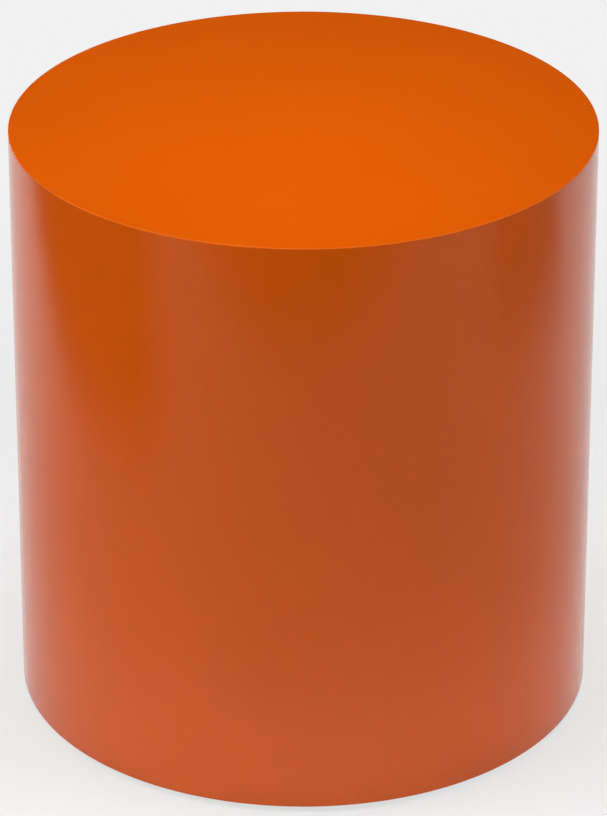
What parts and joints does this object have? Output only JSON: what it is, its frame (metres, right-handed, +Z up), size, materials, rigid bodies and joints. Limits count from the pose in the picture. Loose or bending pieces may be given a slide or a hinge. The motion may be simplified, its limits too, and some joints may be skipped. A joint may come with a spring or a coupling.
{
  "type": "drum side table",
  "caption": "Plain round drum side table with a flush top and upright wall in satin orange laminate, hollow inside, on screw levellers hidden under the wall.",
  "frame": {"origin": "centre of the drum on the floor, with the levellers screwed right in", "axes": "+Z up along the drum's axis; +Y towards the back, where the wall laminate's seam is"},
  "size_m": [0.432, 0.432, 0.457],
  "materials": {
    "orange_laminate": "satin",
    "backer": "matte",
    "board": "matte",
    "plywood": "matte",
    "batten_wood": "matte",
    "zinc_steel": "satin",
    "nylon": "satin",
    "felt": "matte"
  },
  "bodies": {
    "drum": {"top_laminate": "orange_laminate", "wall_laminate": "orange_laminate", "top_backer": "backer", "top_panel": "board", "outer_ply": "plywood", "inner_ply": "plywood", "top_former": "plywood", "middle_former": "plywood", "base_former": "plywood", "batten_1": "batten_wood", "batten_2": "batten_wood", "batten_3": "batten_wood", "batten_4": "batten_wood", "batten_5": "batten_wood", "batten_6": "batten_wood", "batten_7": "batten_wood", "batten_8": "batten_wood", "batten_screws": "zinc_steel", "panel_screws": "zinc_steel", "leveller_nuts": "zinc_steel"},
    "foot_1": {"leveller_foot_1": "nylon", "leveller_pad_1": "felt"},
    "stud_1": {"leveller_stud_1": "zinc_steel"},
    "foot_2": {"leveller_foot_2": "nylon", "leveller_pad_2": "felt"},
    "stud_2": {"leveller_stud_2": "zinc_steel"},
    "foot_3": {"leveller_foot_3": "nylon", "leveller_pad_3": "felt"},
    "stud_3": {"leveller_stud_3": "zinc_steel"},
    "foot_4": {"leveller_foot_4": "nylon", "leveller_pad_4": "felt"},
    "stud_4": {"leveller_stud_4": "zinc_steel"}
  },
  "joints": [
    {"name": "leveller_1_rise", "type": "slide", "parent": "drum", "child": "foot_1", "axis": [0, 0, -1], "range_m": [0, 0.012]},
    {"name": "leveller_1_turn", "type": "hinge", "parent": "foot_1", "child": "stud_1", "pos_m": [-0.06684, 0.16136, 0.0245], "axis": [0, 0, -1], "range_deg": [0, 3456]},
    {"name": "leveller_2_rise", "type": "slide", "parent": "drum", "child": "foot_2", "axis": [0, 0, -1], "range_m": [0, 0.012]},
    {"name": "leveller_2_turn", "type": "hinge", "parent": "foot_2", "child": "stud_2", "pos_m": [-0.16136, -0.06684, 0.0245], "axis": [0, 0, -1], "range_deg": [0, 3456]},
    {"name": "leveller_3_rise", "type": "slide", "parent": "drum", "child": "foot_3", "axis": [0, 0, -1], "range_m": [0, 0.012]},
    {"name": "leveller_3_turn", "type": "hinge", "parent": "foot_3", "child": "stud_3", "pos_m": [0.06684, -0.16136, 0.0245], "axis": [0, 0, -1], "range_deg": [0, 3456]},
    {"name": "leveller_4_rise", "type": "slide", "parent": "drum", "child": "foot_4", "axis": [0, 0, -1], "range_m": [0, 0.012]},
    {"name": "leveller_4_turn", "type": "hinge", "parent": "foot_4", "child": "stud_4", "pos_m": [0.16136, 0.06684, 0.0245], "axis": [0, 0, -1], "range_deg": [0, 3456]}
  ],
  "couplings": [
    {"joint": "leveller_1_turn", "follows": "leveller_1_rise", "rad_per_m": 5026.5},
    {"joint": "leveller_2_turn", "follows": "leveller_2_rise", "rad_per_m": 5026.5},
    {"joint": "leveller_3_turn", "follows": "leveller_3_rise", "rad_per_m": 5026.5},
    {"joint": "leveller_4_turn", "follows": "leveller_4_rise", "rad_per_m": 5026.5}
  ]
}
